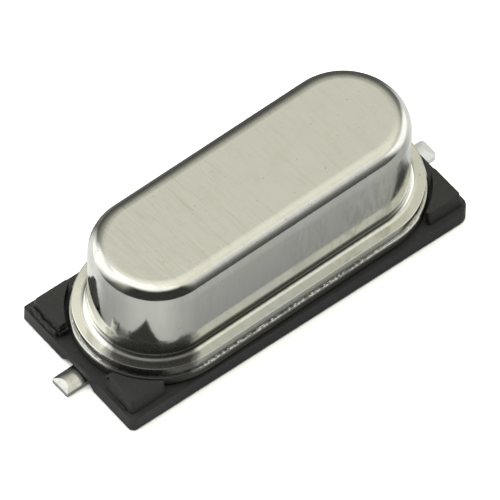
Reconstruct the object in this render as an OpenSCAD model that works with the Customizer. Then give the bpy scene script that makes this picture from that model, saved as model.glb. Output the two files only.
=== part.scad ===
// Surface-mount quartz crystal unit: a drawn metal can welded to a glass-sealed header that
// stands on a moulded plastic spacer, with its two leads bent outward under the spacer.
// Units are millimetres. +X runs along the can and +Z is up. The origin is the middle of the
// spacer's outline, in the plane of the two solder faces.

/* [Can] */
// Length of the can's body, over its two round ends
can_len = 10; // [8:0.02:12.4]
// Width of the can's body
can_wid = 3.6; // [2.9:0.02:4.5]
// Height of the can above the header's flange
can_h = 3.05; // [2.4:0.05:6]
// Thickness of the drawn sheet
sheet_t = 0.2; // [0.12:0.01:0.26]
// Outer radius where the roof turns down into the wall
roof_r = 0.52; // [0.3:0.02:0.7]
// Radius of the fillet where the wall turns out into the weld lip
root_r = 0.18; // [0.05:0.01:0.3]
// How far the weld lip stands out from the wall
lip_out = 0.41; // [0.36:0.01:0.46]
// Thickness of the weld lip
lip_t = 0.32; // [0.16:0.01:0.45]

/* [Header] */
// How far the header's flange stands out from the can's wall
flange_out = 0.49; // [0.47:0.01:0.6]
// Thickness of the header's flange
flange_t = 0.29; // [0.2:0.01:0.4]
// Height of the foot that lifts the flange off the spacer
foot_h = 0.07; // [0.03:0.01:0.12]
// How far the foot stays back from the flange's edge
foot_inset = 0.3; // [0.15:0.01:0.4]
// Height of the raised platform inside the can
platform_h = 0.22; // [0.1:0.01:0.3]
// Gap between the platform and the can's wall
platform_gap = 0.1; // [0.05:0.01:0.2]
// Thickness of the platform's metal
platform_t = 0.25; // [0.15:0.01:0.3]
// Distance between the two leads, centre to centre
lead_pitch = 4.88; // [4:0.02:5.9]
// Diameter of the glass seals
glass_d = 1.3; // [1:0.02:1.6]
// Thickness of the collar round each glass seal
collar_t = 0.18; // [0.1:0.01:0.25]

/* [Leads] */
// Diameter of the round wire
wire_d = 0.43; // [0.35:0.01:0.52]
// Height of the pin above the platform, inside the can
pin_h = 0.25; // [0.18:0.01:0.4]
// Width of the flattened lead under the spacer
strip_w = 0.65; // [0.5:0.01:0.78]
// Thickness of the flattened lead at the middle of its rounded top
strip_t = 0.24; // [0.2:0.01:0.3]
// Thickness of the flattened lead at its edges
strip_edge_t = 0.16; // [0.1:0.01:0.19]
// Inside radius of the bend
bend_r = 0.12; // [0.05:0.01:0.2]
// Height over which the flat grows into the round wire
neck_h = 0.16; // [0.1:0.01:0.25]
// Length of the coined facet at the tip
coin_len = 0.2; // [0.1:0.01:0.3]
// How far the left lead reaches past the spacer
left_reach = 0.65; // [0.3:0.01:1.1]
// How far the right lead reaches past the spacer
right_reach = 0.53; // [0.3:0.01:1.1]
// Corner radius of the left lead's tip
left_tip_r = 0.03; // [0.02:0.01:0.2]
// Corner radius of the right lead's tip
right_tip_r = 0.14; // [0.02:0.01:0.2]
// Where the left lead's tip lies across the part
left_tip_y = -0.07; // [-0.08:0.01:0.08]
// Where the right lead's tip lies across the part
right_tip_y = 0.05; // [-0.08:0.01:0.08]

/* [Crystal inside] */
// Length of the quartz strip
blank_len = 8.3; // [7.5:0.05:8.5]
// Height of the quartz strip, which stands on its long edge
blank_h = 1.8; // [1.4:0.05:1.9]
// Thickness of the quartz strip
blank_t = 0.17; // [0.1:0.01:0.25]
// Length of the silvered field on each face
electrode_len = 4.6; // [3:0.05:5.5]
// Height of the silvered field on each face
electrode_h = 1.3; // [0.8:0.05:1.35]
// Height of the silvered tab that runs to the clip
tab_h = 0.5; // [0.3:0.05:0.8]
// Thickness of the silver film, drawn thicker than the real one
film_t = 0.02; // [0.01:0.005:0.03]
// Thickness of the clips' sheet
clip_t = 0.12; // [0.08:0.01:0.15]
// Width of the clips
clip_w = 1.5; // [1:0.05:1.6]
// Height of the clips' slotted wall above the pins
clip_h = 1.5; // [1:0.05:1.8]
// Gap on each side of the quartz strip in its slot
slot_gap = 0.04; // [0.03:0.005:0.08]
// How far the quartz strip stands through each clip
blank_past_clip = 0.12; // [0.05:0.01:0.3]
// Gap between the pins' tops and the quartz strip's lower edge
blank_lift = 0.26; // [0.2:0.01:0.35]
// Radius of the drops of conductive adhesive
drop_r = 0.3; // [0.2:0.01:0.4]

/* [Spacer] */
// How far the plate reaches past the header's flange at each end
end_margin = 0.21; // [0.15:0.01:0.5]
// How far the plate reaches past the header's flange at each side
side_margin = 0.05; // [0:0.01:0.2]
// Thickness of the plate
plate_t = 0.49; // [0.42:0.01:0.7]
// Height of the plate's underside above the solder faces
stand_off = 0.04; // [0.02:0.01:0.1]
// Radius of the plate's front left corner
front_left_r = 0.18; // [0.05:0.01:0.4]
// Radius of the plate's two right-hand corners
right_r = 0.34; // [0.05:0.01:0.4]
// Radius of the plate's back left corner, where the moulding was cut from its frame
back_left_r = 0.06; // [0.02:0.01:0.4]
// Height of the four corner pads above the plate
pad_h = 0.46; // [0.3:0.01:0.6]
// Length of the corner pads along the plate
pad_len = 1.1; // [0.9:0.01:1.4]
// Length of the corner pads across the plate
pad_wid = 1.09; // [0.9:0.01:1.4]
// How far the pads' tops stay back from the plate's ends
pad_end_inset = 0.18; // [0.12:0.01:0.3]
// How far the pads' tops stay back from the plate's sides
pad_side_inset = 0.24; // [0.12:0.01:0.3]
// How much wider the pads are at the foot, on each outer side
pad_draft = 0.07; // [0.02:0.01:0.11]
// Gap between the header's flange and the pads' hollow faces
pad_gap = 0.11; // [0.08:0.01:0.2]
// Gap beside the flattened lead at the top of its channel
channel_gap = 0.08; // [0.05:0.01:0.15]
// How much the channel widens on each side from its ceiling down to the underside
channel_flare = 0.28; // [0.1:0.01:0.4]
// Gap between the flattened lead and the channel's ceiling
channel_roof_gap = 0.05; // [0.03:0.01:0.08]
// Gap between the flattened lead and its hole through the plate
hole_gap = 0.12; // [0.08:0.01:0.2]

/* [Seating of the crystal on the spacer] */
// How far the crystal sits to the right of the spacer's middle
seat_right = 0.06; // [-0.1:0.01:0.1]
// How far the crystal sits to the back of the spacer's middle
seat_back = 0.04; // [-0.05:0.01:0.05]
// Angle by which the crystal is turned on the spacer
seat_turn = 1; // [-1:0.1:1]

/* [Hidden] */
$fn = 96;

// Levels, from the solder faces up
plate_top = stand_off + plate_t;
flange_z = plate_top + foot_h;
lip_z = flange_z + flange_t;
lip_top = lip_z + lip_t;
platform_z = lip_z + platform_h;
pin_z = platform_z + pin_h;
blank_z = pin_z + blank_lift;
pad_z = plate_top + pad_h;
channel_z = strip_t + channel_roof_gap;

// Half widths: the can, the lip and the header share two end centres on the X axis. The
// rounds are shares of the edges that they soften.
end_x = (can_len - can_wid) / 2;
wall_r = can_wid / 2;
lip_r = wall_r + lip_out;
flange_r = wall_r + flange_out;
platform_r = wall_r - sheet_t - platform_gap;
lip_round = 0.08 * lip_t;
rim_round = 0.2 * flange_t;

// The plate's half sizes
plate_x = end_x + flange_r + end_margin;
plate_y = flange_r + side_margin;

// The wires stand in the turned header
pin_x = lead_pitch / 2;
crown_drop = strip_t - strip_edge_t;
crown_r = (pow(strip_w / 2, 2) + pow(crown_drop, 2)) / (2 * crown_drop);
clip_x = blank_len / 2 - blank_past_clip;
// The glass climbs the wire in a small cone
climb_foot_r = 0.35 * glass_d;
climb_top_r = 0.2 * glass_d;
climb_h = 0.4 * pin_h;
blank_mid_z = blank_z + blank_h / 2;
eps = 0.01;

// Where a point of the crystal's own frame lies in the part's frame
function seat_point(x) = [seat_right + x * cos(seat_turn), seat_back + x * sin(seat_turn)];

// Puts the crystal, modelled on its own centre lines, where it sits on the spacer
module seated() translate([seat_right, seat_back, 0]) rotate([0, 0, seat_turn]) children();

// Sweeps a half section (distance from the end centres, height) round the long outline
module swept_section() {
    for (side = [0, 180]) rotate([0, 0, side]) translate([end_x, 0, 0])
        rotate([0, 0, -90]) rotate_extrude(angle = 180) children();
    rotate([90, 0, 90]) linear_extrude(2 * end_x, center = true) {
        children();
        mirror([1, 0]) children();
    }
}

// A flat block with the long outline, from height z0 to z1
module long_block(r, z0, z1) swept_section() translate([0, z0]) square([r, z1 - z0]);

// Rectangle from the centre line out to r, with a rounded upper outer corner
module rounded_half(r, z0, z1, round) {
    translate([0, z0]) square([r - round, z1 - z0]);
    translate([0, z0]) square([r, z1 - z0 - round]);
    translate([r - round, z1 - round]) circle(round);
}

// Fillet in the inner corner that a wall at r makes with a floor at z
module root_corner(r, z, round) difference() {
    translate([r - eps, z - eps]) square(round + eps);
    translate([r + round, z + round]) circle(round);
}

module can_section() {
    top = lip_z + can_h;
    difference() {
        union() {
            rounded_half(wall_r, lip_z, top, roof_r);
            rounded_half(lip_r, lip_z, lip_top, lip_round);
            root_corner(wall_r, lip_top, root_r);
        }
        rounded_half(wall_r - sheet_t, lip_z - 1, top - sheet_t, roof_r - sheet_t);
    }
}

module can() color([0.78, 0.78, 0.72]) seated() swept_section() can_section();

module header() color([0.72, 0.72, 0.68]) seated() difference() {
    union() {
        swept_section() rounded_half(flange_r, flange_z, lip_z, rim_round);
        long_block(flange_r - foot_inset, plate_top, flange_z + eps);
        long_block(platform_r, flange_z, platform_z);
    }
    difference() {
        long_block(platform_r - platform_t, plate_top - 1, platform_z - platform_t);
        for (side = [-1, 1]) translate([side * pin_x, 0, flange_z])
            cylinder(d = glass_d + 2 * collar_t, h = platform_h + flange_t);
    }
    for (side = [-1, 1]) translate([side * pin_x, 0, 0])
        cylinder(d = glass_d, h = platform_z + 1);
}

module glass_seal(side) color([0.25, 0.42, 0.4]) seated() translate([side * pin_x, 0, 0])
    difference() {
        union() {
            translate([0, 0, flange_z]) cylinder(d = glass_d, h = platform_z - flange_z);
            translate([0, 0, platform_z])
                cylinder(r1 = climb_foot_r, r2 = climb_top_r, h = climb_h);
        }
        cylinder(d = wire_d, h = pin_z);
    }
module left_glass_seal() glass_seal(-1);
module right_glass_seal() glass_seal(1);

// Section of the flattened lead: flat below, crowned above
module strip_section() intersection() {
    translate([-strip_w / 2, 0]) square([strip_w, strip_t]);
    translate([0, strip_t - crown_r]) circle(crown_r);
}

// Plan of the flattened lead from the wire's axis to its tip, which has rounded corners
module run_outline(tip_x, tip_r) {
    translate([0, -strip_w / 2]) square([tip_x - tip_r, strip_w]);
    translate([0, tip_r - strip_w / 2]) square([tip_x, strip_w - 2 * tip_r]);
    for (side = [-1, 1]) translate([tip_x - tip_r, side * (strip_w / 2 - tip_r)])
        circle(tip_r);
}

// One lead in a frame whose Z axis is the wire's and whose X axis points to the tip
module lead(tip_x, tip_r) {
    bend_x = bend_r + strip_t / 2;
    neck_z = bend_r + strip_t;
    // Flattened run along the solder plane, with the coined facet on its tip
    difference() {
        intersection() {
            translate([bend_x, 0, 0]) rotate([90, 0, 90])
                linear_extrude(tip_x - bend_x) strip_section();
            linear_extrude(strip_t) run_outline(tip_x, tip_r);
        }
        translate([tip_x, 0, strip_edge_t]) rotate([0, atan(crown_drop / coin_len), 0])
            translate([-2 * coin_len, -strip_w, 0]) cube([4 * coin_len, 2 * strip_w, strip_t]);
    }
    // The bend, from the run up to the wire
    translate([bend_x, 0, neck_z]) rotate([90, 0, 0]) rotate([0, 0, 180])
        rotate_extrude(angle = 90) translate([neck_z, 0]) rotate([0, 0, 90]) strip_section();
    // The neck, where the flat grows into the round wire
    translate([0, 0, neck_z]) intersection() {
        cylinder(r1 = strip_w / 2, r2 = wire_d / 2, h = neck_h);
        rotate([90, 0, 0]) linear_extrude(strip_w, center = true) polygon([
            [-strip_t / 2, 0], [strip_t / 2, 0], [wire_d / 2, neck_h], [-wire_d / 2, neck_h]
        ]);
    }
    translate([0, 0, neck_z + neck_h]) cylinder(d = wire_d, h = pin_z - neck_z - neck_h);
}

// Stands a lead in the header and points it at its tip
module placed_lead(side, reach, tip_r, tip_y) {
    foot = seat_point(side * pin_x);
    run = side * (plate_x + reach) - foot[0];
    rise = tip_y - foot[1];
    color([0.8, 0.8, 0.78]) translate([foot[0], foot[1], 0])
        rotate([0, 0, atan2(rise, run)]) lead(norm([run, rise]), tip_r);
}
module left_lead() placed_lead(-1, left_reach, left_tip_r, left_tip_y);
module right_lead() placed_lead(1, right_reach, right_tip_r, right_tip_y);

// Clip welded to a pin's top: a foot along X, and a slotted wall that takes the strip's end
module clip(side) color([0.7, 0.68, 0.6]) seated() mirror([side < 0 ? 1 : 0, 0, 0]) {
    translate([pin_x - wire_d, -clip_w / 4, pin_z])
        cube([clip_x - pin_x + wire_d, clip_w / 2, clip_t]);
    difference() {
        translate([clip_x - clip_t, -clip_w / 2, pin_z]) cube([clip_t, clip_w, clip_h]);
        translate([clip_x - 2 * clip_t, -blank_t / 2 - slot_gap, blank_z])
            cube([3 * clip_t, blank_t + 2 * slot_gap, clip_h]);
    }
}
module left_clip() clip(-1);
module right_clip() clip(1);

module quartz_blank() color([0.85, 0.9, 0.92]) seated() translate([0, 0, blank_mid_z])
    cube([blank_len, blank_t, blank_h], center = true);

// Silver film on one face: a field in the middle and a tab that ends at one clip
module film(side) seated() translate([0, side * (blank_t + film_t) / 2, blank_mid_z]) {
    cube([electrode_len, film_t, electrode_h], center = true);
    translate([side < 0 ? 0 : eps - (clip_x - clip_t), -film_t / 2, -tab_h / 2])
        cube([clip_x - clip_t - eps, film_t, tab_h]);
}
module front_electrode() color([0.9, 0.9, 0.9]) film(-1);
module back_electrode() color([0.9, 0.9, 0.9]) film(1);

// Drop of conductive adhesive in the corner between a clip and the strip
module adhesive(side) color([0.6, 0.6, 0.62]) difference() {
    seated() intersection() {
        translate([side * (clip_x - clip_t), 0, blank_mid_z - tab_h / 2]) sphere(drop_r);
        translate([side * (clip_x - clip_t - drop_r / 2), 0, blank_mid_z])
            cube([drop_r, 3 * drop_r, 2 * blank_h], center = true);
    }
    quartz_blank();
    film(-1);
    film(1);
}
module left_adhesive() adhesive(-1);
module right_adhesive() adhesive(1);

// The plate's outline, each corner with its own radius
module plate_outline() {
    corners = [
        [-1, -1, front_left_r], [1, -1, right_r], [1, 1, right_r], [-1, 1, back_left_r]
    ];
    difference() {
        square([2 * plate_x, 2 * plate_y], center = true);
        for (c = corners) translate([c[0] * plate_x, c[1] * plate_y])
            square(2 * c[2], center = true);
    }
    for (c = corners) translate([c[0] * (plate_x - c[2]), c[1] * (plate_y - c[2])])
        circle(c[2]);
}

// Four-sided block that narrows by pad_draft on each side up to the pads' tops
module pad_block() {
    x = plate_x - pad_end_inset;
    y = plate_y - pad_side_inset;
    foot_z = plate_top - eps;
    intersection() {
        rotate([90, 0, 0]) linear_extrude(2 * plate_y, center = true) polygon([
            [-x - pad_draft, foot_z], [x + pad_draft, foot_z], [x, pad_z], [-x, pad_z]
        ]);
        rotate([90, 0, 90]) linear_extrude(2 * plate_x, center = true) polygon([
            [-y - pad_draft, foot_z], [y + pad_draft, foot_z], [y, pad_z], [-y, pad_z]
        ]);
    }
}

module spacer() color([0.17, 0.18, 0.18]) difference() {
    union() {
        translate([0, 0, stand_off]) linear_extrude(plate_t) plate_outline();
        difference() {
            pad_block();
            // The gaps between the pads, along the sides and at the ends
            cube([2 * (plate_x - pad_end_inset - pad_len), 3 * plate_y, 4 * pad_z], center = true);
            cube([3 * plate_x, 2 * (plate_y - pad_side_inset - pad_wid), 4 * pad_z], center = true);
        }
    }
    // The pocket for the header's flange
    seated() long_block(flange_r + pad_gap, plate_top, pad_z + 1);
    for (side = [-1, 1]) {
        foot = seat_point(side * pin_x);
        translate([foot[0], foot[1], 0]) cylinder(d = strip_w + 2 * hole_gap, h = pad_z);
        // The channel for the flattened lead, from its hole out through the end
        translate([side * pin_x, 0, 0]) rotate([90, 0, side * 90])
            linear_extrude(plate_x) polygon([
                [-strip_w / 2 - channel_gap, channel_z],
                [strip_w / 2 + channel_gap, channel_z],
                [strip_w / 2 + channel_gap + channel_flare, stand_off],
                [strip_w / 2 + channel_gap + channel_flare, -eps],
                [-strip_w / 2 - channel_gap - channel_flare, -eps],
                [-strip_w / 2 - channel_gap - channel_flare, stand_off]
            ]);
    }
}

can();
header();
left_glass_seal();
right_glass_seal();
left_lead();
right_lead();
left_clip();
right_clip();
quartz_blank();
front_electrode();
back_electrode();
left_adhesive();
right_adhesive();
spacer();
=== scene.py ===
"""Surface-mount quartz crystal unit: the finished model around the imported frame.

Shapes are drawn in millimetres, where the sizes read easily, and turned into metres when a
piece is finished. +X runs along the can and +Z is up.
"""

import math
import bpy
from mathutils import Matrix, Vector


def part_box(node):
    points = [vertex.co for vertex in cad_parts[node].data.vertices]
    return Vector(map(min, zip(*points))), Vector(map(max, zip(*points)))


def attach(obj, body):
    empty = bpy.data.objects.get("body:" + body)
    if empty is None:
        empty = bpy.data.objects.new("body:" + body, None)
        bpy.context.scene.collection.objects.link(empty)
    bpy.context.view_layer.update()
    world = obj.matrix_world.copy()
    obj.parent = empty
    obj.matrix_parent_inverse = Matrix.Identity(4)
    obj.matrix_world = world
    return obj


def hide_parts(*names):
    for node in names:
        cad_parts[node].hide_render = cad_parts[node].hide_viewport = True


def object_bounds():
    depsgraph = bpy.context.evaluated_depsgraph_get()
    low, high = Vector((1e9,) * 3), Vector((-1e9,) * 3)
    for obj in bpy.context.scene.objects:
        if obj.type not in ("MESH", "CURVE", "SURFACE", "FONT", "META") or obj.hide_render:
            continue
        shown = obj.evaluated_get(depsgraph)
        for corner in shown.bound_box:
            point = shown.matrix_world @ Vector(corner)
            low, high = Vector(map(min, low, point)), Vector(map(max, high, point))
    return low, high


bl_info = {
    "name": "Quartz crystal unit",
    "version": (1, 0, 0),
    "blender": (4, 5, 0),
    "location": "View3D > Sidebar > Crystal",
    "description": "Builds the can, header, leads and spacer of a small quartz crystal unit",
    "category": "Object",
}

from types import SimpleNamespace

import bmesh
import bpy
from bpy.props import FloatProperty, FloatVectorProperty, PointerProperty
from mathutils import Matrix, Vector, noise

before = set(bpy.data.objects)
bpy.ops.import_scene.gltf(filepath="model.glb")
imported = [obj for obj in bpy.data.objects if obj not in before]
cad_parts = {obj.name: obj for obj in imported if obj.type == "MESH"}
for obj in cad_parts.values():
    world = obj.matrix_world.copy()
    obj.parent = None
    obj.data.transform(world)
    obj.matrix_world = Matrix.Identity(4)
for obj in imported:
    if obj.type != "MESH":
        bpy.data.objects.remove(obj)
CAD_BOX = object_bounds()

MM = 0.001


# -------------------------------- sizes, colours

def length(name, about, value):
    """A length that is given here in millimetres and kept in metres."""
    return FloatProperty(
        name=name, description=about, default=value * MM, precision=6,
        subtype="DISTANCE", unit="LENGTH")


def angle(name, about, degrees):
    return FloatProperty(
        name=name, description=about, default=math.radians(degrees), precision=4,
        subtype="ANGLE", unit="ROTATION")


def colour(name, about, value):
    return FloatVectorProperty(
        name=name, description=about, default=value, size=3, min=0, max=1, subtype="COLOR")


def share(name, about, value):
    return FloatProperty(
        name=name, description=about, default=value, min=0, max=1, subtype="FACTOR")


def shade(tone, k):
    """A colour made k times as bright."""
    return tuple(k * c for c in tone)


def node_mm(node):
    """Lowest and highest corner of a CAD node, in millimetres."""
    low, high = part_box(node)
    return low / MM, high / MM


class CrystalCanSizes(bpy.types.PropertyGroup):
    wall_r: length("Wall radius", "Half the width of the can's body", 1.8)
    sheet: length("Sheet", "Thickness of the drawn sheet", 0.2)
    roof_round: length("Roof edge", "Radius where the roof turns down into the wall", 0.52)
    root: length("Root", "Radius of the fillet where the wall turns into the lip", 0.18)
    lip_t: length("Lip thickness", "Thickness of the weld lip", 0.32)
    lip_round: length("Lip edge", "Radius of the weld lip's upper edge", 0.0256)
    seat_turn: angle("Seat turn", "Angle by which the crystal is turned on its spacer", 1)


class CrystalHeaderSizes(bpy.types.PropertyGroup):
    flange_t: length("Flange thickness", "Thickness of the header's flange", 0.29)
    flange_round: length("Flange edge", "Radius of the flange's edges", 0.06)
    foot_inset: length("Foot inset", "How far the foot stays back from the flange's edge", 0.3)
    platform_r: length("Platform radius", "Half the width of the platform in the can", 1.5)
    platform_t: length("Platform metal", "Thickness of the platform's metal", 0.25)
    glass_d: length("Seal diameter", "Diameter of the glass seals", 1.3)
    collar_t: length("Collar", "Thickness of the collar round each glass seal", 0.18)
    bead_r: length("Weld bead", "Radius of the flash that the weld pushed out", 0.024)


class CrystalLeadSizes(bpy.types.PropertyGroup):
    wire_d: length("Wire diameter", "Diameter of the round wire", 0.43)
    strip_w: length("Strip width", "Width of the flattened lead", 0.65)
    strip_t: length("Strip thickness", "Thickness at the middle of the rounded top", 0.24)
    edge_t: length("Strip edge", "Thickness of the flattened lead at its edges", 0.16)
    bend_r: length("Bend radius", "Inside radius of the bend", 0.12)
    neck_h: length("Neck", "Height over which the flat grows into the wire", 0.16)
    coin_len: length("Facet length", "Length of the coined facet at the tip", 0.2)
    left_tip_r: length("Left tip corner", "Corner radius of the left lead's tip", 0.03)
    right_tip_r: length("Right tip corner", "Corner radius of the right lead's tip", 0.14)
    left_tip_y: length("Left tip place", "Where the left tip lies across the part", -0.07)
    right_tip_y: length("Right tip place", "Where the right tip lies across the part", 0.05)
    pitch: length("Lead pitch", "Distance between the two leads", 4.88)


class CrystalSpacerSizes(bpy.types.PropertyGroup):
    plate_t: length("Plate thickness", "Thickness of the moulded plate", 0.49)
    front_left_r: length("Front left corner", "Radius of the plate's front left corner", 0.18)
    right_r: length("Right corners", "Radius of the plate's right-hand corners", 0.34)
    back_left_r: length("Back left corner", "Radius of the back left corner", 0.06)
    pad_len: length("Pad length", "Length of the corner pads along the plate", 1.1)
    pad_wid: length("Pad width", "Length of the corner pads across the plate", 1.09)
    end_inset: length("Pad end inset", "How far the pads' tops lie in from the ends", 0.18)
    side_inset: length("Pad side inset", "How far the pads' tops lie in from the sides", 0.24)
    draft: length("Pad draft", "How much wider the pads are at the foot", 0.07)
    pad_corner: length("Pad corners", "Radius of the pads' upright corners", 0.1)
    pocket_gap: length("Pocket gap", "Gap between the header's flange and the pads", 0.11)
    channel_gap: length("Channel gap", "Gap beside the flattened lead in its channel", 0.08)
    channel_flare: length("Channel flare", "Widening of the channel toward the underside", 0.28)
    roof_gap: length("Channel roof gap", "Gap between the lead and its channel's roof", 0.05)
    hole_gap: length("Hole gap", "Gap between the lead and its hole", 0.12)
    edge_round: length("Moulded edges", "Radius of the moulding's edges", 0.045)


class CrystalFinishes(bpy.types.PropertyGroup):
    nickel: colour("Nickel", "Colour of the nickel plating", (0.635, 0.638, 0.603))
    tin: colour("Tin", "Colour of the tinned leads", (0.6, 0.6, 0.57))
    plastic: colour("Plastic", "Colour of the moulded spacer", (0.034, 0.0362, 0.035))
    glass: colour("Glass", "Colour of the sealing glass", (0.07, 0.16, 0.15))
    clip: colour("Clip metal", "Colour of the clips' sheet", (0.6, 0.57, 0.5))
    quartz: colour("Quartz", "Colour of the lapped quartz", (0.82, 0.86, 0.86))
    silver: colour("Silver", "Colour of the silver films", (0.86, 0.85, 0.82))
    adhesive: colour("Adhesive", "Colour of the conductive adhesive", (0.42, 0.42, 0.43))
    roof_satin: share("Roof satin", "Roughness of the brushed roof", 0.3)
    wall_polish: share("Wall polish", "Roughness of the drawn wall", 0.07)


class CrystalStage(bpy.types.PropertyGroup):
    azimuth: angle("Camera azimuth", "Angle of the camera round the part", -39.404)
    elevation: angle("Camera elevation", "Angle of the camera above the floor", 54.387)
    roll: angle("Camera roll", "Turn of the camera about its own line of sight", 1.41)
    distance: length("Camera distance", "From the camera to the part", 476.2)
    aim_right: length("Aim right", "How far right of the origin the camera looks", 0.069)
    aim_up: length("Aim up", "How far above the origin the camera looks", 0.484)
    lens: FloatProperty(
        name="Lens", description="Focal length in millimetres", default=1295.4, min=1)
    floor_size: length("Floor", "Half the width of the floor", 600)
    floor_tone: share("Floor tone", "How much light the floor sends back", 0.68)


GROUPS = {
    "crystal_can": CrystalCanSizes,
    "crystal_header": CrystalHeaderSizes,
    "crystal_leads": CrystalLeadSizes,
    "crystal_spacer": CrystalSpacerSizes,
    "crystal_finishes": CrystalFinishes,
    "crystal_stage": CrystalStage,
}


def sizes_mm(group):
    """The lengths of a property group in millimetres. Angles stay in radians."""
    made = SimpleNamespace()
    for key in group.__annotations__:
        is_length = group.bl_rna.properties[key].subtype == "DISTANCE"
        setattr(made, key, getattr(group, key) / MM if is_length else getattr(group, key))
    return made


# ---------------------------------- shader maths

class Wire:
    """A node's output that takes part in Python arithmetic."""

    def __init__(self, graph, socket):
        self.graph = graph
        self.socket = socket

    def maths(self, operation, *others):
        return self.graph.node(
            "ShaderNodeMath", {"operation": operation}, dict(enumerate((self, *others))))

    def __add__(self, other):
        return self.maths("ADD", other)

    def __sub__(self, other):
        return self.maths("SUBTRACT", other)

    def __rsub__(self, other):
        return self.graph.node(
            "ShaderNodeMath", {"operation": "SUBTRACT"}, {0: other, 1: self})

    def __mul__(self, other):
        return self.maths("MULTIPLY", other)

    def __truediv__(self, other):
        return self.maths("DIVIDE", other)

    def __abs__(self):
        return self.maths("ABSOLUTE")

    __radd__ = __add__
    __rmul__ = __mul__

    def ramp_up(self, low, high):
        """0 below low, 1 above high, and a smooth rise between them."""
        return self.graph.node(
            "ShaderNodeMapRange", {"interpolation_type": "SMOOTHSTEP"},
            {"Value": self, "From Min": low, "From Max": high})

    def between(self, low, high, soft):
        """1 between low and high, 0 outside, over edges that are 2 * soft wide."""
        rise = self.ramp_up(low - soft, low + soft)
        return rise * (1 - self.ramp_up(high - soft, high + soft))


class Graph:
    """Builds the nodes of one material or world."""

    def __init__(self, tree):
        self.tree = tree
        tree.nodes.clear()

    def node(self, kind, settings=None, inputs=None, output=0):
        made = self.tree.nodes.new(kind)
        for key, value in (settings or {}).items():
            if key == "stops":
                elements = made.color_ramp.elements
                while len(elements) < len(value):
                    elements.new(0.5)
                for element, (place, tone) in zip(elements, value):
                    element.position = place
                    element.color = (tone, tone, tone, 1)
            else:
                setattr(made, key, value)
        for key, value in (inputs or {}).items():
            socket = made.inputs[key]
            if isinstance(value, Wire):
                self.tree.links.new(value.socket, socket)
            elif socket.type == "RGBA":
                socket.default_value = (*value, 1)[:4]
            else:
                socket.default_value = value
        return Wire(self, made.outputs[output]) if made.outputs else made

    def place_mm(self):
        """The point's own coordinates in millimetres."""
        point = self.node("ShaderNodeTexCoord", output="Object")
        return self.scaled(point, (1 / MM,) * 3)

    def scaled(self, vector, factors):
        return self.node(
            "ShaderNodeVectorMath", {"operation": "MULTIPLY"}, {0: vector, 1: factors})

    def turned(self, vector, degrees):
        """The vector turned about the upright axis."""
        return self.node(
            "ShaderNodeVectorRotate", {"rotation_type": "Z_AXIS"},
            {"Vector": vector, "Angle": math.radians(degrees)})

    def axes(self, vector):
        """The three numbers of a vector."""
        split = self.node("ShaderNodeSeparateXYZ", inputs={0: vector})
        outputs = split.socket.node.outputs
        return [Wire(self, outputs[axis]) for axis in "XYZ"]

    def noise(self, vector, scale, detail=2.0, roughness=0.5, distortion=0.0):
        return self.node("ShaderNodeTexNoise", inputs={
            "Vector": vector, "Scale": scale, "Detail": detail, "Roughness": roughness,
            "Distortion": distortion})

    def mix(self, amount, low, high):
        """A colour between two colours."""
        return self.node(
            "ShaderNodeMix", {"data_type": "RGBA"}, {0: amount, 6: low, 7: high}, output=2)

    def between(self, amount, low, high):
        """A number between two numbers."""
        return amount * (high - low) + low

    def away_from(self, place, spot):
        """How far a place lies from a spot."""
        return self.node(
            "ShaderNodeVectorMath", {"operation": "DISTANCE"}, {0: place, 1: spot}, output=1)

    def at_ends(self, x):
        """How near a place is to either end of the seam, where the weld ran smoothly."""
        return x.ramp_up(1.5, 3.5) + 1 - x.ramp_up(-4.8, -3.8)

    def burnt(self, place, reach):
        """How far weld heat has stained a place, over a patch that reaches up to a height."""
        z = self.axes(place)[2]
        across = self.away_from(self.scaled(place, (1, 1, 0)), BURN_SPOT)
        ragged = (self.noise(place, 3, 4, 0.6) - 0.5) * 0.7
        patch = 1 - (across + ragged).ramp_up(1.0, 1.45)
        return patch * (1 - (z + ragged).ramp_up(reach - 0.12, reach + 0.12))

    def bump(self, height, depth_mm, under=None, strength=1.0):
        inputs = {"Height": height, "Distance": depth_mm * MM, "Strength": strength}
        if under is not None:
            inputs["Normal"] = under
        return self.node("ShaderNodeBump", inputs=inputs)

    def surface(self, **inputs):
        """Ends the graph in one Principled shader."""
        names = {key.replace("_", " "): value for key, value in inputs.items()}
        shader = self.node("ShaderNodeBsdfPrincipled", inputs=names)
        self.node("ShaderNodeOutputMaterial", inputs={"Surface": shader})


def new_material(name):
    """A material, its graph and the place on the piece in millimetres."""
    material = bpy.data.materials.new(name)
    material.use_nodes = True
    graph = Graph(material.node_tree)
    return material, graph, graph.place_mm()


# -------------------------------------- finishes

# Places in millimetres where the weld has stained the metal, and where the wall is palest
BURN_SPOT = (-4.4, -1.45, 0.0)
SMUDGE_SPOT = (-4.86, -0.75, 1.9)
PALE_SPOT = (-4.3, -1.42, 2.7)


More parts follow.
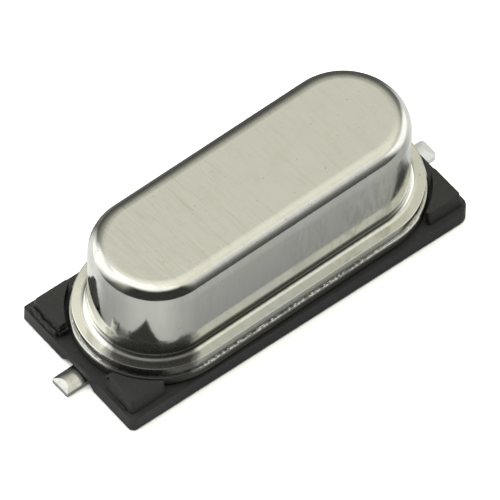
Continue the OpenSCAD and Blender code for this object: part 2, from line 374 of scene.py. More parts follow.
def nickel_can(finishes, low_mm, lip_mm, top_mm):
    """Nickel plating: satin and brushed on the roof, drawn and bright on the wall."""
    material, graph, place = new_material("nickel can")
    x, y, z = graph.axes(place)
    ragged = graph.noise(place, 7, 3, 0.65)
    roof = (z + (ragged - 0.5) * 0.008).ramp_up(top_mm - 0.035, top_mm - 0.002)
    side = 1 - roof
    # The roof's fine marks run across the part; the wall's run up it
    crossing = graph.turned(place, -4)
    marks = graph.noise(graph.scaled(crossing, (13, 0.8, 1)), 1.0, 4, 0.7)
    scores = graph.noise(graph.scaled(crossing, (7, 0.5, 1)), 1.0, 2, 0.5)
    scores = scores.ramp_up(0.56, 0.72)
    clouds = graph.noise(place, 0.9, 3, 0.6)
    grain = graph.noise(place, 34, 2, 0.6)
    specks = graph.noise(place, 9, 1, 0.5).ramp_up(0.73, 0.79)
    streaks = graph.noise(graph.scaled(place, (2.6, 2.6, 0.3)), 1.0, 3, 0.6)
    stain = graph.noise(place, 2.2, 4, 0.65).ramp_up(0.52, 0.7)
    warm = graph.noise(place, 0.55, 2, 0.5).ramp_up(0.45, 0.65)
    bright, dull = (shade(finishes.nickel, k) for k in (1.07, 0.9))
    worn = graph.between(x.ramp_up(-3.5, 0.5), 1.0, 0.35)
    lines = (marks.ramp_up(0.3, 0.7) - 0.5) * worn
    tone = graph.mix(clouds * 0.4 + lines * 0.65 + 0.3, dull, bright)
    tone = graph.mix(streaks.ramp_up(0.35, 0.6) * side * 0.6, tone, dull)
    tone = graph.mix(warm * side * 0.3, tone, (0.66, 0.645, 0.54))
    pale = 1 - graph.away_from(place, PALE_SPOT).ramp_up(0.5, 1.3)
    tone = graph.mix(pale * side * 0.4, tone, (0.76, 0.75, 0.67))
    tone = graph.mix(stain * 0.1, tone, (0.4, 0.38, 0.31))
    tone = graph.mix(specks * 0.4, tone, (0.22, 0.2, 0.16))
    tone = graph.mix(scores * roof * worn * 0.2, tone, (0.3, 0.29, 0.24))
    # Dull strokes run up the wall toward its right end, where it shines less
    strokes = graph.noise(graph.scaled(place, (3.4, 3.4, 1.0)), 1.0, 2, 0.5, 1.2)
    haze = strokes.ramp_up(0.46, 0.62) * x.ramp_up(-2.0, 2.5)
    haze = haze * z.between(lip_mm + 0.3, top_mm - 0.65, 0.1)
    tone = graph.mix(haze * 0.28, tone, (0.3, 0.31, 0.27))
    # Painted highlights: the lip is painted brighter at its left end, and the root at its right
    # end
    ends = 1 - x.ramp_up(-5.0, -3.8) + x.ramp_up(3.9, 4.9) * z.ramp_up(lip_mm, lip_mm + 0.02)
    ends = ends * (1 - z.ramp_up(lip_mm + 0.2, lip_mm + 0.35))
    tone = graph.mix(ends * 0.55, tone, (0.95, 0.95, 0.91))
    # Painted shade: the root crease is painted dark on the front side
    root = (z + ragged * 0.03).between(lip_mm + 0.05, lip_mm + 0.19, 0.02)
    root = root * (1 - y.ramp_up(-1.85, -1.5))
    tone = graph.mix(root * 0.9, tone, (0.1, 0.1, 0.06))
    # The seam and one end are stained by the weld
    seam = 1 - (z + ragged * 0.1).ramp_up(low_mm + 0.02, low_mm + 0.36)
    seam = seam * graph.between(x.ramp_up(2.5, 4.5), 0.85, 0.2)
    smudge = 1 - (graph.away_from(place, SMUDGE_SPOT) + ragged * 0.4).ramp_up(0.3, 0.65)
    burnt = graph.burnt(place, lip_mm + 0.65).maths("MAXIMUM", seam)
    burnt = burnt.maths("MAXIMUM", smudge * 0.75)
    tone = graph.mix(burnt * 0.9, tone, (0.08, 0.08, 0.07))
    polish = finishes.wall_polish + streaks * 0.05 + burnt * ragged * 0.3
    polish = polish + haze * 0.1 + x.ramp_up(2.5, 4.8) * side * 0.1
    satin = finishes.roof_satin + (marks - 0.5) * 0.2 + (clouds - 0.5) * 0.1
    waves = graph.bump(graph.noise(place, 1.3, 1, 0.4), 0.004, strength=0.6)
    edge = graph.bump(ragged, 0.0014, under=waves, strength=0.6)
    drawn = graph.bump(streaks * side, 0.003, under=edge, strength=0.6)
    brushed = graph.bump((marks + grain * 0.4) * roof, 0.002, under=drawn, strength=0.8)
    graph.surface(
        Base_Color=tone, Metallic=1 - burnt * 0.25, Roughness=polish + roof * (satin - polish),
        Normal=brushed)
    return material


def header_metal(finishes, edge_z):
    """Nickel-plated header, whose weld edge is dark under its bright upper rim."""
    material, graph, place = new_material("header metal")
    x, _, z = graph.axes(place)
    mottle = graph.noise(place, 5, 4, 0.65)
    under = 1 - (z + mottle * 0.04).ramp_up(edge_z - 0.04, edge_z + 0.015)
    dashes = graph.noise(place, 12, 2, 0.5).ramp_up(0.46, 0.56)
    gaps = (1 - dashes) * graph.between(graph.at_ends(x), 0.6, 0.1)
    dark = graph.burnt(place, edge_z + 1).maths("MAXIMUM", under).maths("MAXIMUM", gaps)
    tone = graph.mix(mottle, shade(finishes.nickel, 0.8), finishes.nickel)
    tone = graph.mix(dark * 0.94, tone, (0.05, 0.05, 0.045))
    rough = 0.14 + mottle * 0.14 + dark * 0.3
    bump = graph.bump(mottle, 0.004, strength=0.7)
    graph.surface(Base_Color=tone, Metallic=1 - dark * 0.2, Roughness=rough, Normal=bump)
    return material


def weld_metal():
    """Drops of metal that the weld squeezed out: bright where they stand up, dark between."""
    material, graph, place = new_material("weld metal")
    x = graph.axes(place)[0]
    drops = graph.noise(place, 12, 2, 0.5).ramp_up(0.44, 0.56)
    drops = drops.maths("MAXIMUM", graph.at_ends(x) * 0.85)
    soot = graph.burnt(place, 2)
    tone = graph.mix(drops, (0.16, 0.16, 0.145), (0.8, 0.8, 0.77))
    tone = graph.mix(soot * 0.9, tone, (0.06, 0.06, 0.055))
    graph.surface(
        Base_Color=tone, Metallic=1 - soot * 0.25, Roughness=0.3 - drops * 0.12,
        Normal=graph.bump(drops, 0.006, strength=0.6))
    return material


def tinned_lead(finishes):
    """Bright tin with soft blotches and fine marks along the lead."""
    material, graph, place = new_material("tinned lead")
    blotches = graph.noise(place, 4, 4, 0.6)
    marks = graph.noise(graph.scaled(place, (3, 28, 10)), 1.0, 3, 0.6)
    tone = graph.mix(blotches.ramp_up(0.4, 0.75), finishes.tin, shade(finishes.tin, 0.75))
    # Painted highlight: the right tip is painted pale, less metallic and rougher, where its
    # facet would otherwise reflect dark
    pale = graph.axes(place)[0].ramp_up(5.0, 5.6)
    tone = graph.mix(pale * 0.9, tone, (0.9, 0.93, 0.93))
    bump = graph.bump(marks + blotches, 0.004, strength=0.6)
    graph.surface(
        Base_Color=tone, Metallic=1 - pale * 0.5, Roughness=0.14 + blotches * 0.14 + pale * 0.3,
        Normal=bump)
    return material


def black_plastic(finishes):
    """Moulded black plastic: an uneven dull skin with a few pale specks and rubbed places."""
    material, graph, place = new_material("black plastic")
    grain = graph.noise(place, 22, 3, 0.6)
    clouds = graph.noise(place, 1.6, 3, 0.6)
    uneven = graph.noise(place, 5, 3, 0.6)
    specks = graph.noise(place, 16, 2, 0.6).ramp_up(0.68, 0.75)
    rubbed = graph.noise(place, 3, 5, 0.75).ramp_up(0.58, 0.72)
    tone = graph.mix(clouds, shade(finishes.plastic, 0.8), shade(finishes.plastic, 1.3))
    tone = graph.mix(rubbed * 0.25, tone, (0.11, 0.11, 0.105))
    tone = graph.mix(specks * 0.4, tone, (0.24, 0.23, 0.2))
    skin = graph.bump(uneven, 0.012, strength=0.6)
    bump = graph.bump(grain + clouds, 0.008, under=skin, strength=0.6)
    graph.surface(
        Base_Color=tone, Roughness=0.42 + grain * 0.2, Specular_IOR_Level=0.35, Normal=bump)
    return material


def sealing_glass(finishes):
    """Fused sealing glass with small bubbles."""
    material, graph, place = new_material("sealing glass")
    bubbles = graph.noise(place, 12, 2, 0.5)
    tone = graph.mix(bubbles.ramp_up(0.55, 0.7), finishes.glass, shade(finishes.glass, 1.8))
    graph.surface(
        Base_Color=tone, Roughness=0.08 + bubbles * 0.1,
        Normal=graph.bump(bubbles, 0.01, strength=0.4))
    return material


def clip_metal(finishes):
    """Rolled spring sheet with fine marks and a weld's heat tint."""
    material, graph, place = new_material("clip metal")
    rolled = graph.noise(graph.scaled(place, (30, 30, 3)), 1.0, 3, 0.6)
    tint = graph.noise(place, 3, 3, 0.6)
    tone = graph.mix(tint, finishes.clip, shade(finishes.clip, 0.75))
    graph.surface(
        Base_Color=tone, Metallic=1.0, Roughness=0.22 + rolled * 0.15,
        Normal=graph.bump(rolled, 0.003, strength=0.5))
    return material


def lapped_quartz(finishes):
    """Lapped quartz: a fine frosted face over a glassy body."""
    material, graph, place = new_material("lapped quartz")
    frost = graph.noise(place, 60, 2, 0.6)
    clouds = graph.noise(place, 1.2, 2, 0.5)
    tone = graph.mix(clouds, finishes.quartz, shade(finishes.quartz, 0.9))
    graph.surface(
        Base_Color=tone, Roughness=0.3 + frost * 0.2, IOR=1.54, Transmission_Weight=0.6,
        Normal=graph.bump(frost, 0.003, strength=0.5))
    return material


def silver_film(finishes):
    """Evaporated silver that follows the lapped face, a little tarnished in places."""
    material, graph, place = new_material("silver film")
    frost = graph.noise(place, 60, 2, 0.6)
    tarnish = graph.noise(place, 2.4, 4, 0.6).ramp_up(0.5, 0.8)
    tone = graph.mix(tarnish * 0.4, finishes.silver, (0.6, 0.52, 0.38))
    graph.surface(
        Base_Color=tone, Metallic=1.0, Roughness=0.28 + frost * 0.15,
        Normal=graph.bump(frost, 0.003, strength=0.4))
    return material


def silver_adhesive(finishes):
    """Cured adhesive full of silver flakes."""
    material, graph, place = new_material("silver adhesive")
    flakes = graph.noise(place, 45, 2, 0.7)
    tone = graph.mix(
        flakes.ramp_up(0.4, 0.7), shade(finishes.adhesive, 0.7), finishes.adhesive)
    graph.surface(
        Base_Color=tone, Metallic=flakes.ramp_up(0.5, 0.65) * 0.8, Roughness=0.45,
        Normal=graph.bump(flakes, 0.008, strength=0.6))
    return material


# ---------------------------------- mesh helpers

ROUND_STEPS = 8
HALF_TURN_STEPS = 64
RUN_STEPS = 24
SHARP = 35  # degrees; edges that turn by more than this are sharp
JOIN = 1e-4  # millimetres; points that lie nearer are merged
HOLD = 0.008  # millimetres from a round to the point beside it
HAIR = 0.001  # millimetres; keeps cutting faces off the faces they cut
PAST = 1.0  # millimetres by which cutting blocks stick out
TORN_SEED = 1  # keeps the torn plastic the same in every run


def round_off(bm, geom, radius, segments=ROUND_STEPS, affect="VERTICES"):
    """Rounds corners, or edges, of a bmesh."""
    bmesh.ops.bevel(
        bm, geom=geom, offset=radius, offset_type="OFFSET", segments=segments, profile=0.5,
        affect=affect, material=-1)


def pull(bm, geom, vec):
    """Extrudes faces and moves what is new. A solid's end is given with its edges too."""
    made = bmesh.ops.extrude_face_region(bm, geom=geom)["geom"]
    verts = [item for item in made if isinstance(item, bmesh.types.BMVert)]
    bmesh.ops.translate(bm, vec=vec, verts=verts)
    return made


def draw_profile(bm, corners, x):
    """Draws an open profile as a wire in the plane at x, rounding the corners that ask for it.

    Each corner is (distance from the end centre, height, radius). A point just outside each
    end of a round keeps the flats beside it evenly shaded.
    """
    points = [Vector((x, r, z)) for r, z, _ in corners]
    path, rounds = [], []
    for index, (_, _, radius) in enumerate(corners):
        if not radius:
            path.append(points[index])
            continue
        arms = [points[index + step] - points[index] for step in (-1, 1)]
        reach = radius / math.tan(arms[0].angle(arms[1]) / 2)
        before, after = (points[index] + arm.normalized() * (reach + HOLD) for arm in arms)
        rounds.append((len(path) + 1, reach))
        path += [before, points[index], after]
    verts = [bm.verts.new(point) for point in path]
    for start, end in zip(verts, verts[1:]):
        bm.edges.new((start, end))
    for index, reach in rounds:
        round_off(bm, [verts[index]], reach)


def sweep_long(corners, end_x, run_steps=RUN_STEPS, turn_steps=HALF_TURN_STEPS):
    """A bmesh of the profile swept round the long outline with end centres at +-end_x."""
    bm = bmesh.new()
    draw_profile(bm, corners, end_x)
    geom = bm.verts[:] + bm.edges[:]
    for centre in (end_x, -end_x):
        turned = bmesh.ops.spin(
            bm, geom=geom, cent=(centre, 0, 0), axis=(0, 0, 1), angle=-math.pi,
            steps=turn_steps)
        moved = bmesh.ops.spin(
            bm, geom=turned["geom_last"], axis=(0, 0, 1), dvec=(-2 * centre / run_steps, 0, 0),
            steps=run_steps)
        geom = moved["geom_last"]
    settle(bm)
    return bm


def settle(bm):
    """Merges what lies together and points the faces outward."""
    bmesh.ops.remove_doubles(bm, verts=bm.verts, dist=JOIN)
    bmesh.ops.dissolve_degenerate(bm, edges=bm.edges, dist=JOIN)
    bmesh.ops.recalc_face_normals(bm, faces=bm.faces)


def move(bm, x=0.0, y=0.0, z=0.0, turn=0.0):
    """Turns the whole bmesh about the Z axis, then moves it."""
    bmesh.ops.rotate(
        bm, cent=(0, 0, 0), matrix=Matrix.Rotation(turn, 3, "Z"), verts=bm.verts)
    bmesh.ops.translate(bm, vec=(x, y, z), verts=bm.verts)


def outline_solid(corners, low, high):
    """A flat block whose outline is a rectangle with its own radius at each corner."""
    bm = bmesh.new()
    verts = [bm.verts.new((x, y, low)) for x, y, _ in corners]
    bm.faces.new(verts)
    for vert, (_, _, radius) in zip(verts, corners):
        if radius:
            round_off(bm, [vert], radius)
    pull(bm, bm.faces[:], (0, 0, high - low))
    settle(bm)
    return bm


def drum(radius, low, high, x, y):
    """An upright cylinder."""
    bm = bmesh.new()
    bmesh.ops.create_cone(
        bm, cap_ends=True, segments=64, radius1=radius, radius2=radius, depth=high - low)
    move(bm, x, y, (low + high) / 2)
    return bm


def add_torn_strip(bm, middle, size):
    """Adds a thin strip with an uneven skin, as torn plastic leaves it."""
    strip = bmesh.new()
    bmesh.ops.create_cube(strip, size=1)
    bmesh.ops.subdivide_edges(strip, edges=strip.edges[:], cuts=15, use_grid_fill=True)
    bmesh.ops.scale(strip, vec=size, verts=strip.verts)
    move(strip, *middle)
    wander, rough = 0.05, min(size) * 0.5  # millimetres: of the strip, and of its skin
    for vert in strip.verts:
        vert.co += noise.noise_vector(vert.co * 4) * wander
        vert.co += noise.noise_vector(vert.co * 16) * rough
    passing = bpy.data.meshes.new("strip")
    strip.to_mesh(passing)
    strip.free()
    bm.from_mesh(passing)
    bpy.data.meshes.remove(passing)


def loose_object(name, bm):
    """An object made of a bmesh, which is used up."""
    mesh = bpy.data.meshes.new(name)
    bm.to_mesh(mesh)
    bm.free()
    made = bpy.data.objects.new(name, mesh)
    bpy.context.scene.collection.objects.link(made)
    return made


def carve(name, bm, steps):
    """Joins to a bmesh, or cuts from it, each (operation, bmesh)."""
    body = loose_object(name, bm)
    tools = []
    for number, (operation, tool_bm) in enumerate(steps):
        tool = loose_object(f"{name} tool {number}", tool_bm)
        cut = body.modifiers.new(f"cut {number}", "BOOLEAN")
        cut.operation = operation
        cut.solver = "EXACT"
        cut.object = tool
        tools.append(tool)
    graph = bpy.context.evaluated_depsgraph_get()
    shaped = bpy.data.meshes.new_from_object(body.evaluated_get(graph))
    result = bmesh.new()
    result.from_mesh(shaped)
    for item in (body, *tools):
        spent = item.data
        bpy.data.objects.remove(item)
        bpy.data.meshes.remove(spent)
    bpy.data.meshes.remove(shaped)
    if not result.faces:
        raise RuntimeError(f"{name} came out empty")
    return result


def finish_piece(name, bm, material, slot, *nodes, sharp=SHARP):
    """Turns a bmesh in millimetres into a piece, which stands for the CAD nodes given."""
    bmesh.ops.scale(bm, vec=(MM, MM, MM), verts=bm.verts)
    piece = loose_object(name, bm)
    mesh = piece.data
    mesh.shade_smooth()
    mesh.set_sharp_from_angle(angle=math.radians(sharp))
    mesh.materials.append(material)
    even = piece.modifiers.new("even shading", "WEIGHTED_NORMAL")
    even.keep_sharp = True
    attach(piece, "root")
    if nodes:
        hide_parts(*nodes)
    return piece


def long_outline(node, turn):
    """End centres' distance from the middle, outer radius and the middle of a long outline.

    They are solved from the box of a CAD node that lies turned on the spacer.
    """
    low, high = node_mm(node)
    half = (high - low) / 2
    end_x = (half.x - half.y) / (math.cos(turn) - math.sin(turn))
    return end_x, half.y - end_x * math.sin(turn), (low + high) / 2


def lead_foot(side, pitch, middle, turn):
    """Where a lead stands, left (-1) or right (1) of the turned crystal's middle."""
    reach = side * pitch / 2
    return Vector((middle.x + reach * math.cos(turn), middle.y + reach * math.sin(turn)))


# ------------------------------------- operators

class CRYSTAL_OT_can(bpy.types.Operator):
    """Draws the can as one shell: roof, wall, root fillet and weld lip"""
    bl_idname = "crystal.can"
    bl_label = "Can"

    def execute(self, context):
        s = sizes_mm(context.scene.crystal_can)
        end_x, lip_r, middle = long_outline("can", s.seat_turn)
        low, high = node_mm("can")
        lip_top = low.z + s.lip_t
        inner = s.roof_round - s.sheet
        corners = [
            (0, high.z, 0),
            (s.wall_r, high.z, s.roof_round),
            (s.wall_r, lip_top, s.root),
            (lip_r, lip_top, s.lip_round),
            (lip_r, low.z, 0),
            (s.wall_r - s.sheet, low.z, 0),
            (s.wall_r - s.sheet, high.z - s.sheet, inner),
            (0, high.z - s.sheet, 0),
        ]
        bm = sweep_long(corners, end_x)
        move(bm, middle.x, middle.y, turn=s.seat_turn)
        material = nickel_can(context.scene.crystal_finishes, low.z, lip_top, high.z)
        finish_piece("can_shell", bm, material, "nickel_can", "can")
        return {"FINISHED"}


class CRYSTAL_OT_header(bpy.types.Operator):
    """Draws the header, with its foot, platform and seal holes, and the weld's flash"""
    bl_idname = "crystal.header"
    bl_label = "Header"

    def execute(self, context):
        s = sizes_mm(context.scene.crystal_header)
        can = sizes_mm(context.scene.crystal_can)
        leads = sizes_mm(context.scene.crystal_leads)
        end_x, flange_r, middle = long_outline("header", can.seat_turn)
        low, high = node_mm("header")
        flange_top = node_mm("can")[0].z
        flange_low = flange_top - s.flange_t
        hollow_r = s.platform_r - s.platform_t
        hollow_top = high.z - s.platform_t
        corners = [
            (0, hollow_top, 0),
            (hollow_r, hollow_top, 0),
            (hollow_r, low.z, 0),
            (flange_r - s.foot_inset, low.z, 0),
            (flange_r - s.foot_inset, flange_low, 0),
            (flange_r, flange_low, s.flange_round),
            (flange_r, flange_top, s.flange_round),
            (s.platform_r, flange_top, 0),
            (s.platform_r, high.z, s.flange_round),
            (0, high.z, 0),
        ]
        body = sweep_long(corners, end_x)
        seats = [(side * leads.pitch / 2, 0) for side in (-1, 1)]
        seal_r = s.glass_d / 2
        collar_top = high.z - 10 * HAIR
        steps = [
            ("UNION", drum(seal_r + s.collar_t, flange_low, collar_top, *at)) for at in seats]
        steps += [
            ("DIFFERENCE", drum(seal_r, low.z - PAST, high.z + PAST, *at)) for at in seats]
        bm = carve("header", body, steps)
        move(bm, middle.x, middle.y, turn=can.seat_turn)
        material = header_metal(context.scene.crystal_finishes, flange_top)
        finish_piece("header_base", bm, material, "header_metal", "header")

        lip_r = long_outline("can", can.seat_turn)[1]
        bead = s.bead_r
        flash = [
            (lip_r - bead, flange_top - bead / 2, 0),
            (lip_r + bead / 2, flange_top - bead / 2, bead * 0.4),
            (lip_r + bead / 2, flange_top + bead, bead * 0.5),
            (lip_r - bead, flange_top + bead, 0),
            (lip_r - bead, flange_top - bead / 2, 0),
        ]
        bm = sweep_long(flash, end_x, run_steps=260, turn_steps=280)
        for vert in bm.verts:
            across = Vector((vert.co.x - max(-end_x, min(end_x, vert.co.x)), vert.co.y, 0))
            if across.length > lip_r - bead / 2:
                swell = noise.noise(vert.co * 4.5) + 0.5 * noise.noise(vert.co * 11)
                vert.co += across.normalized() * bead * (1.3 * swell - 0.3)
                vert.co.z += bead * 0.7 * max(-0.5, swell)
        move(bm, middle.x, middle.y, turn=can.seat_turn)
        material = weld_metal()
        finish_piece("weld_flash", bm, material, "header_metal", sharp=60)
        return {"FINISHED"}


class CRYSTAL_OT_leads(bpy.types.Operator):
    """Draws the two leads: coined tip, flat crowned run, bend, neck and round wire"""
    bl_idname = "crystal.leads"
    bl_label = "Leads"

    def execute(self, context):
        s = sizes_mm(context.scene.crystal_leads)
        turn = context.scene.crystal_can.seat_turn
        middle = long_outline("header", turn)[2]
        material = tinned_lead(context.scene.crystal_finishes)
        for side, word in ((-1, "left"), (1, "right")):
            low, high = node_mm(f"{word}_lead")
            foot = lead_foot(side, s.pitch, middle, turn)
            tip_x = high.x if side > 0 else low.x
            run = Vector((tip_x, getattr(s, f"{word}_tip_y"))) - foot
            bm = self.lead(s, run.length, getattr(s, f"{word}_tip_r"), high.z)
            move(bm, foot.x, foot.y, turn=math.atan2(run.y, run.x))
            finish_piece(
                f"{word}_lead_wire", bm, material, "tinned_lead", f"{word}_lead", sharp=15)
        return {"FINISHED"}

    def lead(self, s, tip_x, tip_r, top):
        """One lead whose wire stands on the Z axis and whose tip points along +X."""
        bm = bmesh.new()
        drop = s.strip_t - s.edge_t
        crown_r = ((s.strip_w / 2) ** 2 + drop ** 2) / (2 * drop)
        half = math.asin(s.strip_w / 2 / crown_r)
        start = tip_x + s.strip_t
        side = bm.verts.new((start, s.strip_w / 2, s.edge_t))
        bmesh.ops.spin(
            bm, geom=[side], cent=(start, 0, s.strip_t - crown_r), axis=(1, 0, 0),
            angle=2 * half, steps=2 * ROUND_STEPS)
        ends = [pick(bm.verts, key=lambda vert: vert.co.y) for pick in (min, max)]
        foot = [bm.verts.new((start, vert.co.y, 0)) for vert in ends]
        for pair in zip(ends, foot):
            bm.edges.new(pair)
        bmesh.ops.subdivide_edges(bm, edges=[bm.edges.new(foot)], cuts=11)
        bmesh.ops.contextual_create(bm, geom=bm.edges[:])
        bend_x = s.bend_r + s.strip_t / 2
        neck_z = s.bend_r + s.strip_t
        run = pull(bm, bm.faces[:] + bm.edges[:], (bend_x - start, 0, 0))
        bend = bmesh.ops.spin(
            bm, geom=run, cent=(bend_x, 0, neck_z), axis=(0, 1, 0), angle=math.pi / 2,
            steps=12)["geom_last"]
        neck = pull(bm, bend, (0, 0, s.neck_h))
        for vert in neck:
            if isinstance(vert, bmesh.types.BMVert):
                vert.co.x, vert.co.y = vert.co.xy.normalized() * s.wire_d / 2
        pull(bm, neck, (0, 0, top - neck_z - s.neck_h))
        settle(bm)
        # The plan with its rounded tip corners, and the coined facet
        half_w = s.strip_w / 2 - HAIR
        plan = outline_solid([
            (-PAST, -half_w, 0), (tip_x, -half_w, tip_r),
            (tip_x, half_w, tip_r), (-PAST, half_w, 0)], -PAST, top + PAST)
        wedge = bmesh.new()
        bmesh.ops.create_cube(wedge, size=1)
        bmesh.ops.scale(
            wedge, vec=(4 * s.coin_len, 2 * s.strip_w, s.strip_t), verts=wedge.verts)
        move(wedge, z=s.strip_t / 2)
        bmesh.ops.rotate(
            wedge, cent=(0, 0, 0), verts=wedge.verts,
            matrix=Matrix.Rotation(math.atan(drop / s.coin_len), 3, "Y"))
        move(wedge, tip_x, z=s.edge_t + HAIR)
        return carve("lead", bm, [("INTERSECT", plan), ("DIFFERENCE", wedge)])


class CRYSTAL_OT_spacer(bpy.types.Operator):
    """Draws the spacer: plate, pads, pocket, holes and channels, and its torn plastic"""
    bl_idname = "crystal.spacer"
    bl_label = "Spacer"

    def execute(self, context):
        s = sizes_mm(context.scene.crystal_spacer)
        leads = sizes_mm(context.scene.crystal_leads)
        turn = context.scene.crystal_can.seat_turn
        end_x, flange_r, middle = long_outline("header", turn)
        low, high = node_mm("spacer")
        x, y = high.x, high.y
        plate_top = low.z + s.plate_t
        body = outline_solid([
            (-x, -y, s.front_left_r), (x, -y, s.right_r),
            (x, y, s.right_r), (-x, y, s.back_left_r)], low.z, plate_top)
        steps = [
            ("UNION", self.pad(s, x, y, plate_top, high.z, side_x, side_y))
            for side_x in (-1, 1) for side_y in (-1, 1)]
        pocket = sweep_long([
            (0, plate_top, 0), (flange_r + s.pocket_gap, plate_top, 0),
            (flange_r + s.pocket_gap, high.z + PAST, 0), (0, high.z + PAST, 0)], end_x)
        move(pocket, middle.x, middle.y, turn=turn)
        steps.append(("DIFFERENCE", pocket))
        hole_r = leads.strip_w / 2 + s.hole_gap
        for side in (-1, 1):
            foot = lead_foot(side, leads.pitch, middle, turn)
            steps.append(("DIFFERENCE", drum(hole_r, low.z - PAST, high.z, *foot)))
            steps.append(("DIFFERENCE", self.channel(s, leads, side, low.z, x)))
        bm = carve("spacer", body, steps)
        settle(bm)
        # Rounds the long outer edges of the pads and of the plate's top
        short, lowest = 0.3, 0.3  # millimetres
        sharp = [
            edge for edge in bm.edges
            if edge.is_convex and edge.calc_face_angle(0) > math.radians(SHARP)
            and edge.calc_length() > short
            and min(vert.co.z for vert in edge.verts) > lowest]
        round_off(bm, sharp, s.edge_round, segments=3, affect="EDGES")
        settle(bm)
        material = black_plastic(context.scene.crystal_finishes)
        finish_piece("spacer_moulding", bm, material, "black_plastic", "spacer", sharp=40)

        # Torn plastic that the mould left along the left end: (middle, size)
        noise.seed_set(TORN_SEED)
        bm = bmesh.new()
        for middle, size in (
                ((-x + 0.08, 1.6, plate_top + 0.1), (0.06, 1.1, 0.24)),
                ((-x + 0.17, 1.3, plate_top + 0.2), (0.05, 0.6, 0.2)),
                ((-x + 0.3, 0.97, plate_top + 0.1), (0.3, 0.05, 0.2)),
                ((-x + 0.07, -1.7, plate_top), (0.035, 0.55, 0.06)),
                ((-x + 0.19, -1.02, high.z - 0.06), (0.07, 0.1, 0.08)),
                ((-x + 0.04, 0.05, plate_top - 0.02), (0.03, 0.5, 0.05))):
            add_torn_strip(bm, middle, size)
        settle(bm)
        finish_piece("mould_flash", bm, material, "black_plastic", sharp=50)
        return {"FINISHED"}

    def pad(self, s, x, y, low, high, side_x, side_y):
        """One corner pad. It narrows upward on its two outer sides."""
        out_x, out_y = x - s.end_inset, y - s.side_inset
        in_x, in_y = out_x - s.pad_len, out_y - s.pad_wid
        bm = outline_solid([
            (in_x, in_y, 0), (out_x, in_y, 0), (out_x, out_y, s.pad_corner),
            (in_x, out_y, s.pad_corner)], low - 0.02, high)
        for vert in bm.verts:
            if vert.co.z < high - JOIN:
                grow = s.draft * (high - vert.co.z) / (high - low)
                vert.co.x += grow * (vert.co.x > in_x + 0.5 * s.pad_len)
                vert.co.y += grow * (vert.co.y > in_y + 0.5 * s.pad_wid)
        bmesh.ops.scale(bm, vec=(side_x, side_y, 1), verts=bm.verts)
        bmesh.ops.recalc_face_normals(bm, faces=bm.faces)
        return bm

    def channel(self, s, leads, side, low, x):
        """The channel for one flattened lead, from its hole out through the end."""
        top = leads.strip_t + s.roof_gap
        narrow = leads.strip_w / 2 + s.channel_gap
        wide = narrow + s.channel_flare
        start = leads.pitch / 2
        bm = bmesh.new()
        verts = [bm.verts.new((start, y, z)) for y, z in (
            (-wide, low - 0.2), (wide, low - 0.2), (wide, low), (narrow, top),
            (-narrow, top), (-wide, low))]
        pull(bm, [bm.faces.new(verts)], (x, 0, 0))
        bmesh.ops.scale(bm, vec=(side, 1, 1), verts=bm.verts)
        settle(bm)
        return bm


INNER = {
    "left_glass_seal": sealing_glass, "right_glass_seal": sealing_glass,
    "left_clip": clip_metal, "right_clip": clip_metal,
    "quartz_blank": lapped_quartz,
    "front_electrode": silver_film, "back_electrode": silver_film,
    "left_adhesive": silver_adhesive, "right_adhesive": silver_adhesive,
}


class CRYSTAL_OT_inside(bpy.types.Operator):
    """Gives the parts that are sealed inside the can their finishes"""
    bl_idname = "crystal.inside"
    bl_label = "Inside"

    def execute(self, context):
        made = {}
        for node, finish in INNER.items():
            if finish not in made:
                made[finish] = finish(context.scene.crystal_finishes)
            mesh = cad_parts[node].data
            mesh.materials.clear()
            mesh.materials.append(made[finish])
        return {"FINISHED"}


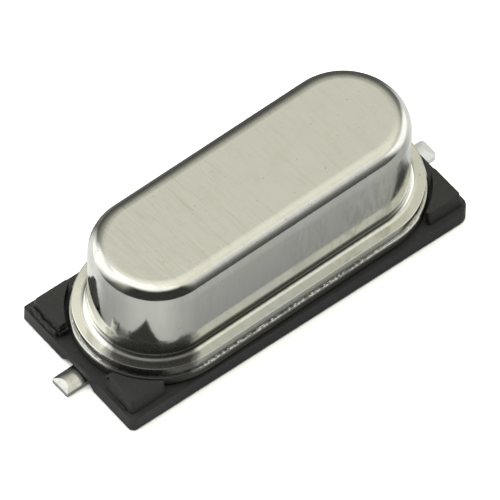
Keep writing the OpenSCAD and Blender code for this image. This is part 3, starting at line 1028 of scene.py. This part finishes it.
class CRYSTAL_OT_stage(bpy.types.Operator):
    """Sets the camera, the pale floor and the soft light of the studio"""
    bl_idname = "crystal.stage"
    bl_label = "Stage"

    def execute(self, context):
        stage = context.scene.crystal_stage
        self.set_camera(context, stage)
        self.set_floor(stage)
        self.set_light(context)
        context.scene.view_settings.view_transform = "Standard"
        return {"FINISHED"}

    def set_camera(self, context, stage):
        a, e, roll = stage.azimuth, stage.elevation, stage.roll
        back = Vector((
            math.sin(a) * math.cos(e), -math.cos(a) * math.cos(e), math.sin(e)))
        right = Vector((math.cos(a), math.sin(a), 0))
        up = back.cross(right)
        level = Matrix((right, up, back)).transposed()
        turned = level @ Matrix.Rotation(roll, 3, "Z")
        aim = turned @ Vector((stage.aim_right, stage.aim_up, stage.distance))
        camera = bpy.data.objects.new("camera", bpy.data.cameras.new("camera"))
        camera.data.lens = stage.lens
        camera.data.clip_start = 0.01
        camera.data.clip_end = 10
        camera.matrix_world = Matrix.Translation(aim) @ turned.to_4x4()
        context.scene.collection.objects.link(camera)
        context.scene.camera = camera

    def set_floor(self, stage):
        """A wide pale floor, which is lit a little brighter where it is seen directly."""
        bm = bmesh.new()
        bmesh.ops.create_grid(bm, x_segments=8, y_segments=8, size=stage.floor_size)
        move(bm, z=CAD_BOX[0][2] - 2 * HAIR * MM)
        floor = loose_object("studio_floor", bm)
        material, graph, place = new_material("studio floor")
        x, y, _ = graph.axes(place)
        # The floor is lit less behind the part, and more beside the two light boxes
        end_x = 3.2  # millimetres from the middle to where the can's ends begin
        beyond = x - x.maths("MINIMUM", end_x).maths("MAXIMUM", -end_x)
        az = beyond.maths("ARCTAN2", y) * (180 / math.pi)
        behind = az.between(-4, 62, 8) * y.ramp_up(2.6, 4.6)
        glow = az.between(-58, -6, 14) * 0.9 + az.between(68, 112, 14) * 0.7
        glow = glow + az.between(-165, -105, 14) * 0.25
        pale, dim, lit_up = (
            tuple(k * stage.floor_tone * c for c in (0.98, 1.0, 1.04)) for k in (1, 0.2, 2))
        tone = graph.mix(behind, graph.mix(glow, pale, lit_up), dim)
        plain = graph.node("ShaderNodeBsdfDiffuse", inputs={"Color": tone})
        lit = graph.node(
            "ShaderNodeBsdfDiffuse", inputs={"Color": (3.0 * stage.floor_tone,) * 3})
        seen = graph.node("ShaderNodeLightPath", output="Is Camera Ray")
        mixed = graph.node("ShaderNodeMixShader", inputs={0: seen, 1: plain, 2: lit})
        graph.node("ShaderNodeOutputMaterial", inputs={"Surface": mixed})
        floor.data.materials.append(material)

    def set_light(self, context):
        """Soft boxes overhead, to the left and to the right, and a dim room behind them."""
        world = bpy.data.worlds.new("studio")
        world.use_nodes = True
        context.scene.world = world
        graph = Graph(world.node_tree)
        x, y, z = graph.axes(graph.node("ShaderNodeTexCoord", output="Generated"))
        turn = 180 / math.pi
        el = z.maths("ARCSINE") * turn
        az = x.maths("ARCTAN2", y) * turn
        # Distance round from the middle of the dark side, where the camera stands
        dark_az = -147
        away = abs((az + (540 - dark_az)).maths("MODULO", 360) - 180)
        dark_side = 1 - away.ramp_up(43, 61)
        # The room: behind the part, and dark on the camera's side
        back = graph.node("ShaderNodeValToRGB", {"stops": [
            (0.0, 0.05), (0.11, 0.065), (0.22, 0.1), (0.39, 0.2), (0.5, 0.29), (0.6, 0.43),
            (0.72, 0.53), (0.83, 0.62), (1.0, 0.71)]}, {"Fac": el / 90}) * 2.13
        back = back + az.between(60, 150, 25) * el.between(33, 58, 8) * 0.35
        front = 0.05 + el.ramp_up(50, 68) * 1.5
        # The left box leans and goes on overhead
        left = (az + el * 0.75 + 48).ramp_up(-22, 24)
        left = left * (1 - (az + 15 - abs(el - 25) * 0.35).ramp_up(-12, 12))
        left = left * (1 - el.ramp_up(40, 58) * az.ramp_up(-60, -25) * 0.35)
        left = left * (1 - az.ramp_up(60, 90)) + el.ramp_up(56, 70) * az.between(-150, 0, 20)
        left = left.maths("MINIMUM", 1.0) * 1.75
        # The right box stays low
        near = 1 - (az - el * 0.6).ramp_up(110, 141)
        right = (az - el * 0.4).ramp_up(66, 84) * near
        right = right * (1 - (el - az * 0.3).ramp_up(-8, 16)) * 1.65
        boxes = left.maths("MAXIMUM", right)
        light = (back + (front - back) * dark_side).maths("MAXIMUM", boxes)
        # The boxes are nearly white and the room behind them is warmer
        white_share = (boxes / light).ramp_up(0.5, 1.0).maths("MAXIMUM", dark_side)
        white_share = white_share.maths(
            "MAXIMUM", az.ramp_up(118, 138) * (1 - el.ramp_up(58, 66)))
        seen = graph.node("ShaderNodeLightPath", output="Is Camera Ray")
        studio = graph.node("ShaderNodeBackground", inputs={
            "Color": graph.mix(white_share, (1.0, 0.98, 0.85), (1.0, 1.0, 0.965)),
            "Strength": light})
        white = graph.node("ShaderNodeBackground", inputs={
            "Color": (1.0, 1.0, 1.0), "Strength": 1.0})
        mixed = graph.node("ShaderNodeMixShader", inputs={0: seen, 1: studio, 2: white})
        graph.node("ShaderNodeOutputWorld", inputs={"Surface": mixed})


class CRYSTAL_PT_build(bpy.types.Panel):
    """Lists the steps that build the crystal unit"""
    bl_idname = "CRYSTAL_PT_build"
    bl_label = "Quartz crystal unit"
    bl_space_type = "VIEW_3D"
    bl_region_type = "UI"
    bl_category = "Crystal"

    def draw(self, context):
        for group in GROUPS:
            column = self.layout.column(heading=group)
            for key in GROUPS[group].__annotations__:
                column.prop(getattr(context.scene, group), key)
        for step in STEPS:
            self.layout.operator(step.bl_idname)


STEPS = (
    CRYSTAL_OT_stage, CRYSTAL_OT_can, CRYSTAL_OT_header, CRYSTAL_OT_leads,
    CRYSTAL_OT_spacer, CRYSTAL_OT_inside)
CLASSES = (*GROUPS.values(), *STEPS, CRYSTAL_PT_build)


def register():
    for cls in CLASSES:
        bpy.utils.register_class(cls)
    for name, group in GROUPS.items():
        setattr(bpy.types.Scene, name, PointerProperty(type=group))


def unregister():
    for name in GROUPS:
        delattr(bpy.types.Scene, name)
    for cls in reversed(CLASSES):
        bpy.utils.unregister_class(cls)


def main():
    register()
    for step in STEPS:
        family, word = step.bl_idname.split(".")
        getattr(getattr(bpy.ops, family), word)()


if __name__ == "__main__":
    main()
